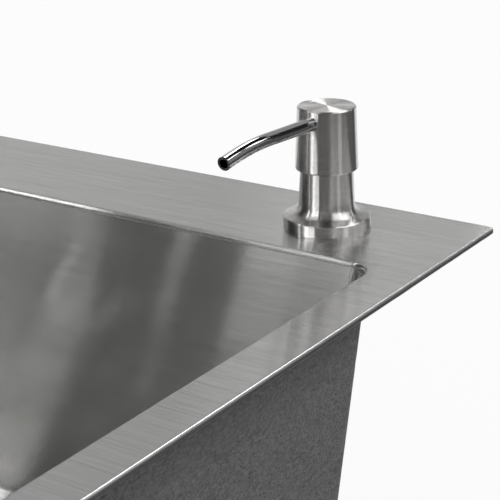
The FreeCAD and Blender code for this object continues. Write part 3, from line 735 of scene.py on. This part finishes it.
def flowing(points, steps):
    """A closed outline that flows smoothly through points."""
    count = len(points)
    flow = []
    for index in range(count):
        before, here, after, beyond = (
            Vector(points[(index + shift) % count]) for shift in (-1, 0, 1, 2)
        )
        for step in range(steps):
            t = step / steps
            square = (2 * before - 5 * here + 4 * after - beyond) * t * t
            cube = (3 * here - before - 3 * after + beyond) * t * t * t
            flow.append(((2 * here) + (after - before) * t + square + cube) / 2)
    return flow


def wing_plate(made, axis, outline, thickness):
    """Adds an upright plate along X from an outline of distance and height."""
    sides = []
    for across in (-thickness / 2, thickness / 2):
        corners = [(axis[0] + along, axis[1] + across, height) for along, height in outline]
        sides.append([made.verts.new(corner) for corner in corners])
    made.faces.new(sides[0])
    made.faces.new(list(reversed(sides[1])))
    bridge(made, sides[0], sides[1])


def tape_outline(half, thickness, corner):
    """Section of the tape as side and height: narrower at the top, rounded below."""
    outline = [(-half + 0.3 * corner, 0.0), (-half, -0.4 * thickness)]
    for step in range(4):
        turn = math.radians(30 * step)
        side = -half + corner * (1 - math.cos(turn))
        outline.append((side, -thickness + corner * (1 - math.sin(turn))))
    outline += [(-0.4 * half, -thickness), (0.0, -thickness)]
    return outline + [(-side, height) for side, height in reversed(outline[:-1])]


def tape_run(made, start, end, width, thickness, corner):
    """Adds one length of foam tape under the plate, which swells a little along its length."""
    along = end - start
    across = Vector((-along.y, along.x, 0.0)).normalized()
    outline = tape_outline(width / 2, thickness, corner)
    count = max(2, round(along.length / TAPE_STEP))
    rows = []
    for step in range(count + 1):
        share = step / count
        length = share * along.length
        slow_wave = 0.3 * math.sin(95.0 * length + 40.0 * start.y)
        quick_wave = 0.2 * math.sin(233.0 * length + 70.0 * start.x)
        squeeze = 1.0 - 0.05 * (0.5 + slow_wave + quick_wave)
        inset = min(1.0, 0.8 + 40.0 * min(length, along.length - length))
        middle = start + share * along
        row = []
        for side, height in outline:
            drop = Vector((0, 0, height * squeeze * inset))
            row.append(made.verts.new(middle + across * (side * squeeze) + drop))
        rows.append(row)
    for here, there in zip(rows, rows[1:]):
        bridge(made, here, there)
    made.faces.new(list(reversed(rows[0])))
    made.faces.new(rows[-1])


def closed_mesh(made, name):
    """Turns finished geometry into a mesh with outward, softly shaded faces."""
    bmesh.ops.recalc_face_normals(made, faces=made.faces)
    for face in made.faces:
        face.smooth = True
    mesh = bpy.data.meshes.new(name)
    made.to_mesh(mesh)
    made.free()
    return mesh


class SINK_OT_sheet(bpy.types.Operator):
    """Brushed plate and bowl"""

    bl_idname = "sink.sheet"
    bl_label = "Plate and bowl"

    def execute(self, context):
        colours = context.scene.sink_colours
        plate_finish = brushed_steel(
            "Brushed plate",
            colours.brushed_steel,
            roughness=0.14,
            groove_depth=0.00001,
            contrast=0.13,
        )
        plate = grained_copy("deck_plate", "brushed_plate", plate_finish, "brushed_steel")
        edge_finish = polished_metal("Polished edge", colours.polished_edge, roughness=0.3)
        rounded(plate, context.scene.sink_sizes.edge_round, edge_finish)
        bowl_finish = brushed_steel(
            "Brushed bowl",
            colours.bowl_steel,
            roughness=0.09,
            groove_depth=0.000006,
            contrast=0.1,
            bow=2.0,
        )
        grained_copy("bowl", "brushed_bowl", bowl_finish, "bowl_steel")
        return {"FINISHED"}


class SINK_OT_underside(bpy.types.Operator):
    """Sprayed coat, pads and seal under the sink"""

    bl_idname = "sink.underside"
    bl_label = "Coat, pads and seal"

    def execute(self, context):
        colours = context.scene.sink_colours
        give(sprayed_coat("Sprayed coat", colours.sound_coat), "sound_coat")
        pad = moulded("Sound pad", colours.pad_rubber, roughness=0.7, grain_depth=0.0001)
        give(pad, "floor_pads")
        low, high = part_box("seal_strips")
        section = (TAPE_WIDTH, high.z - low.z, context.scene.sink_sizes.tape_round)
        made = bmesh.new()
        for side in (low, high):
            middle = side.y + math.copysign(TAPE_WIDTH / 2, -side.y)
            ends = [Vector((x, middle, high.z)) for x in (low.x, high.x)]
            tape_run(made, *ends, *section)
            middle = side.x + math.copysign(TAPE_WIDTH / 2, -side.x)
            spread = (low.y + TAPE_WIDTH, high.y - TAPE_WIDTH)
            ends = [Vector((middle, y, high.z)) for y in spread]
            tape_run(made, *ends, *section)
        mesh = closed_mesh(made, "seal_tape")
        foam = cellular_foam("Seal tape", colours.foam)
        tape = own_piece("seal_tape", mesh, "sink", foam, "foam", "seal_strips")
        return {"FINISHED"}


class SINK_OT_clips(bpy.types.Operator):
    """Worktop clips"""

    bl_idname = "sink.clips"
    bl_label = "Worktop clips"

    def execute(self, context):
        sizes = context.scene.sink_sizes
        zinc = zinc_plate("Zinc plate", context.scene.sink_colours.zinc)
        claws = [name for name in nodes if name.startswith("clip_claw")]
        give(zinc, *claws)
        for name in claws:
            rounded(nodes[name], sizes.fastener_round)
        centres = solid_centres("clip_studs")
        low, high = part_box("clip_studs")
        thread = (STUD_RADIUS, low.z, high.z, sizes.stud_pitch, sizes.stud_depth, STUD_SIDES)
        threads = [(centre, *thread) for centre in centres]
        threaded_copy("clip_studs", "threaded_studs", zinc, "zinc", threads)
        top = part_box("clip_wing_nuts")[1].z
        body = [(radius, top - drop) for radius, drop in WING_NUT_BODY]
        made = bmesh.new()
        for centre in centres:
            turned_ring(made, centre, body, WING_NUT_SIDES)
            for side in (-1, 1):
                flow = flowing(WING_NUT_EAR, EAR_STEPS)
                ear = [(side * along, top - drop) for along, drop in flow]
                wing_plate(made, centre, ear, WING_THICKNESS)
        mesh = closed_mesh(made, "wing_nuts")
        nuts = own_piece("wing_nuts", mesh, "sink", zinc, "zinc", "clip_wing_nuts")
        rounded(nuts, sizes.fastener_round)
        return {"FINISHED"}


class SINK_OT_strainer(bpy.types.Operator):
    """Drain strainer and its basket"""

    bl_idname = "sink.strainer"
    bl_label = "Strainer and basket"

    def execute(self, context):
        colours = context.scene.sink_colours
        sizes = context.scene.sink_sizes
        polished = polished_metal("Polished steel", colours.polished_steel, roughness=0.2)
        give(polished, "basket_cup", "basket_post")
        low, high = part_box("strainer_cup")
        axis = ((low.x + high.x) / 2, (low.y + high.y) / 2)
        pitch, depth = sizes.outlet_pitch, sizes.outlet_depth
        thread = (axis, OUTLET_RADIUS, low.z, high.z, pitch, depth, OUTLET_SIDES)
        threaded_copy("strainer_cup", "threaded_cup", polished, "polished_steel", [thread])
        rubber = moulded("Strainer rubber", colours.rubber, roughness=0.6)
        give(rubber, "strainer_gasket", "strainer_washer", "basket_stopper")
        give(pressed_fibre("Fibre ring", colours.fibre), "strainer_slip_ring")
        nuts = ("strainer_locknut", "basket_stopper_nut")
        give(zinc_plate("Lock nut zinc", colours.zinc), *nuts)
        for name in nuts:
            rounded(nodes[name], sizes.fastener_round)
        return {"FINISHED"}


class SINK_OT_dispenser(bpy.types.Operator):
    """Soap dispenser above the deck"""

    bl_idname = "sink.dispenser"
    bl_label = "Dispenser"

    def execute(self, context):
        colours = context.scene.sink_colours
        turned = turned_steel(
            "Turned steel",
            colours.turned_steel,
            DISPENSER_AXIS,
            roughness=0.15,
            groove_depth=0.00001,
        )
        give(turned, "dispenser_collar", "pump_cap")
        chrome = polished_metal(
            "Chrome", colours.chrome, roughness=0.06, darkest=0.64, lightest=0.76
        )
        give(chrome, "spout_tube")
        return {"FINISHED"}


class SINK_OT_pump(bpy.types.Operator):
    """Pump inside the dispenser and its fixing below the deck"""

    bl_idname = "sink.pump"
    bl_label = "Pump and shank"

    def execute(self, context):
        colours = context.scene.sink_colours
        sizes = context.scene.sink_sizes
        black = moulded("Black plastic", colours.black_plastic, roughness=0.45)
        give(black, "shank_nut", "head_core")
        rounded(nodes["shank_nut"], sizes.fastener_round)
        low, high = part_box("dispenser_shank")
        axis = (DISPENSER_AXIS.x, DISPENSER_AXIS.y)
        step = low.z + BOTTLE_THREAD_HEIGHT
        shank = (sizes.shank_pitch, sizes.shank_depth, SHANK_SIDES)
        bottle = (sizes.bottle_pitch, sizes.bottle_depth, SHANK_SIDES)
        threads = [
            (axis, SHANK_RADIUS, step, high.z, *shank),
            (axis, BOTTLE_RADIUS, low.z, step, *bottle),
        ]
        threaded_copy("dispenser_shank", "threaded_shank", black, "black_plastic", threads)
        white = moulded("White plastic", colours.white_plastic, roughness=0.4)
        give(white, "pump_housing", "pump_guide", "pump_stem", "pump_piston", "dip_tube")
        rubber = moulded("Pump rubber", colours.rubber, roughness=0.6)
        give(rubber, "collar_seal", "shank_washer", "piston_seal")
        wire = polished_metal("Spring wire", colours.spring_steel, roughness=0.2)
        give(wire, "inlet_ball")
        coil = nodes["return_spring"].data.copy()
        spring = own_piece("coil_spring", coil, "sink", wire, "spring_steel", "return_spring")
        low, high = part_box("return_spring")
        press = next(joint for joint in frame["joints"] if joint["name"] == "pump_press")
        keep = 1.0 - press["range_m"][1] / (high.z - low.z)
        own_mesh(spring)
        return {"FINISHED"}


def camera_axes(turn, tilt, roll):
    """The camera's right, up and back directions."""
    level = Vector((math.cos(turn), math.sin(turn), 0.0))
    ahead = Vector(
        (-math.sin(turn) * math.cos(tilt), math.cos(turn) * math.cos(tilt), -math.sin(tilt))
    )
    above = level.cross(ahead)
    right = math.cos(roll) * level + math.sin(roll) * above
    up = math.cos(roll) * above - math.sin(roll) * level
    return right, up, -ahead


def lamp_panel(name, place, facing, width, height, level):
    """A rectangular lamp of even brightness."""
    lamp = bpy.data.lights.new(name, "AREA")
    lamp.shape = "RECTANGLE"
    lamp.size = width
    lamp.size_y = height
    lamp.energy = level * LAMP_POWER * width * height
    panel = bpy.data.objects.new(name, lamp)
    panel.matrix_world = Matrix.Translation(place) @ facing.to_4x4()
    bpy.context.collection.objects.link(panel)


def front_panel(name, left, right, low, high, level):
    """A panel across the front, leaning so that its edges stay along the grain's streaks."""
    rise = (low + high) / 2
    middle = math.hypot(FRONT_DISTANCE, rise)
    slopes = [side / math.sqrt(1.0 - side * side) for side in (left, right)]
    centre = sum(slopes) / 2
    sweep = centre * (math.hypot(FRONT_DISTANCE, high) - math.hypot(FRONT_DISTANCE, low))
    lean = Matrix.Rotation(math.atan2(sweep, high - low), 3, "Y")
    facing = lean @ Matrix.Rotation(math.pi / 2, 3, "X")
    place = STUDIO_CENTRE + Vector((centre * middle, -FRONT_DISTANCE, rise))
    lamp_panel(name, place, facing, (slopes[1] - slopes[0]) * middle, high - low, level)


def dome_panel(name, turn_from, turn_to, rise_from, rise_to, level):
    """A panel on a dome round the sink, facing its middle; angles in degrees."""
    turn = math.radians((turn_from + turn_to) / 2)
    rise = math.radians((rise_from + rise_to) / 2)
    outward = Vector(
        (math.cos(turn) * math.cos(rise), math.sin(turn) * math.cos(rise), math.sin(rise))
    )
    half_width = math.tan(math.radians(turn_to - turn_from) / 2) * math.cos(rise)
    half_height = math.tan(math.radians(rise_to - rise_from) / 2)
    facing = (-outward).to_track_quat("-Z", "Y").to_matrix()
    place = STUDIO_CENTRE + DOME_DISTANCE * outward
    width, height = 2 * DOME_DISTANCE * half_width, 2 * DOME_DISTANCE * half_height
    lamp_panel(name, place, facing, width, height, level)


def matte(name, tone):
    """A plain grey matte finish for the studio."""
    return Finish(name, {"Base Color": (tone, tone, tone, 1.0), "Roughness": 0.9})


def stage_piece(name, points, faces, finish):
    """Shows a mesh of the studio that isn't part of the sink."""
    mesh = bpy.data.meshes.new(name)
    mesh.from_pydata(points, [], faces)
    mesh.materials.append(finish.owner)
    piece = bpy.data.objects.new(name, mesh)
    bpy.context.collection.objects.link(piece)
    return piece


def seen_directly(finish):
    """1 where the camera, a mirror or glass looks, and 0 for other light."""
    camera = finish.node("LightPath", out="Is Camera Ray")
    glossy = finish.node("LightPath", out="Is Glossy Ray")
    through = finish.node("LightPath", out="Is Transmission Ray")
    return camera + glossy + through


def white_floor(level):
    """A floor that looks white but keeps the sink's shadow."""
    finish = matte("Pale floor", FLOOR_TONE)
    white = finish.node("Emission", None, {"Strength": 1.0})
    lit = Value(finish, finish.shader.outputs[0])
    share = FLOOR_WHITE * seen_directly(finish)
    finish.show(finish.node("MixShader", None, {0: share, 1: lit, 2: white}))
    corners = [(-1, -1), (1, -1), (1, 1), (-1, 1)]
    points = [(x * FLOOR_REACH, y * FLOOR_REACH, level) for x, y in corners]
    stage_piece("studio_floor", points, [(0, 1, 2, 3)], finish)


def white_world(world):
    """A background that is white where it is seen, and dimmer as a light."""
    finish = Finish("White studio", None, world)
    background = finish.tree.nodes["Background"]
    background.inputs["Color"].default_value = (1.0, 1.0, 1.0, 1.0)
    strength = WORLD_FILL + (1.0 - WORLD_FILL) * seen_directly(finish)
    finish.feed(background.inputs["Strength"], strength)


def studio_walls(floor, tone):
    """A dark round room with a ceiling, that only reflections see."""
    points = []
    faces = []
    for index in range(ROOM_SIDES):
        turn = 2 * math.pi * index / ROOM_SIDES
        for level in (floor, ROOM_TOP):
            points.append(round_point((0.0, 0.0), ROOM_RADIUS, turn, level))
        after = (index + 1) % ROOM_SIDES
        faces.append((2 * index, 2 * after, 2 * after + 1, 2 * index + 1))
    faces.append([2 * index + 1 for index in range(ROOM_SIDES)])
    room = stage_piece("studio_walls", points, faces, matte("Studio wall", tone))
    room.visible_camera = False


def dark_mat(level):
    """A grey mat on the floor at the right, that only reflections see."""
    points = [(STUDIO_CENTRE.x, STUDIO_CENTRE.y, level)]
    for step in range(MAT_STEPS + 1):
        turn = math.radians(MAT_FROM + (MAT_TO - MAT_FROM) * step / MAT_STEPS)
        points.append(round_point(STUDIO_CENTRE, MAT_RADIUS, turn, level))
    face = tuple(range(len(points)))
    mat = stage_piece("grey_mat", points, [face], matte("Grey mat", MAT_TONE))
    mat.visible_camera = False
    mat.visible_diffuse = False
    mat.visible_shadow = False


class SINK_OT_studio(bpy.types.Operator):
    """Camera, lamps, floor and background"""

    bl_idname = "sink.studio"
    bl_label = "Studio"

    def execute(self, context):
        scene = context.scene
        studio = scene.sink_studio
        scene.view_settings.view_transform = "Standard"
        lens = bpy.data.cameras.new("photo_camera")
        lens.sensor_width = 36.0
        lens.lens = studio.camera_lens
        lens.clip_end = 100.0
        camera = bpy.data.objects.new("photo_camera", lens)
        axes = Matrix(camera_axes(studio.camera_turn, studio.camera_tilt, studio.camera_roll))
        place = Matrix.Translation(studio.camera_place)
        camera.matrix_world = place @ axes.transposed().to_4x4()
        context.collection.objects.link(camera)
        scene.camera = camera
        floor_level = cad_box[0][2]
        white_floor(floor_level)
        studio_walls(floor_level, studio.wall_tone)
        dark_mat(floor_level + MAT_LIFT)
        for *panel, level in FRONT_PANELS:
            front_panel(*panel, level * studio.lamp_level)
        for *panel, level in DOME_PANELS:
            dome_panel(*panel, level * studio.lamp_level)
        scene.world = bpy.data.worlds.new("studio_world")
        white_world(scene.world)
        return {"FINISHED"}


OPERATORS = [
    SINK_OT_sheet,
    SINK_OT_underside,
    SINK_OT_clips,
    SINK_OT_strainer,
    SINK_OT_dispenser,
    SINK_OT_pump,
    SINK_OT_studio,
]


class SINK_PT_panel(bpy.types.Panel):
    """Lists the sink's operators and settings"""

    bl_idname = "SINK_PT_panel"
    bl_label = "Kitchen Sink"
    bl_space_type = "VIEW_3D"
    bl_region_type = "UI"
    bl_category = "Sink"

    def draw(self, context):
        layout = self.layout
        scene = context.scene
        for operator in OPERATORS:
            layout.operator(operator.bl_idname)
        for group in (scene.sink_sizes, scene.sink_colours, scene.sink_studio):
            box = layout.box()
            for key in group.__annotations__:
                box.prop(group, key)


GROUPS = [SinkSizes, SinkColours, SinkStudio]


def register():
    for item in GROUPS + OPERATORS + [SINK_PT_panel]:
        bpy.utils.register_class(item)
    bpy.types.Scene.sink_sizes = bpy.props.PointerProperty(type=SinkSizes)
    bpy.types.Scene.sink_colours = bpy.props.PointerProperty(type=SinkColours)
    bpy.types.Scene.sink_studio = bpy.props.PointerProperty(type=SinkStudio)


def unregister():
    del bpy.types.Scene.sink_studio
    del bpy.types.Scene.sink_colours
    del bpy.types.Scene.sink_sizes
    for item in reversed(GROUPS + OPERATORS + [SINK_PT_panel]):
        bpy.utils.unregister_class(item)


def main():
    register()
    bpy.ops.sink.sheet()
    bpy.ops.sink.underside()
    bpy.ops.sink.clips()
    bpy.ops.sink.strainer()
    bpy.ops.sink.dispenser()
    bpy.ops.sink.pump()
    bpy.ops.sink.studio()


if __name__ == "__main__":
    main()
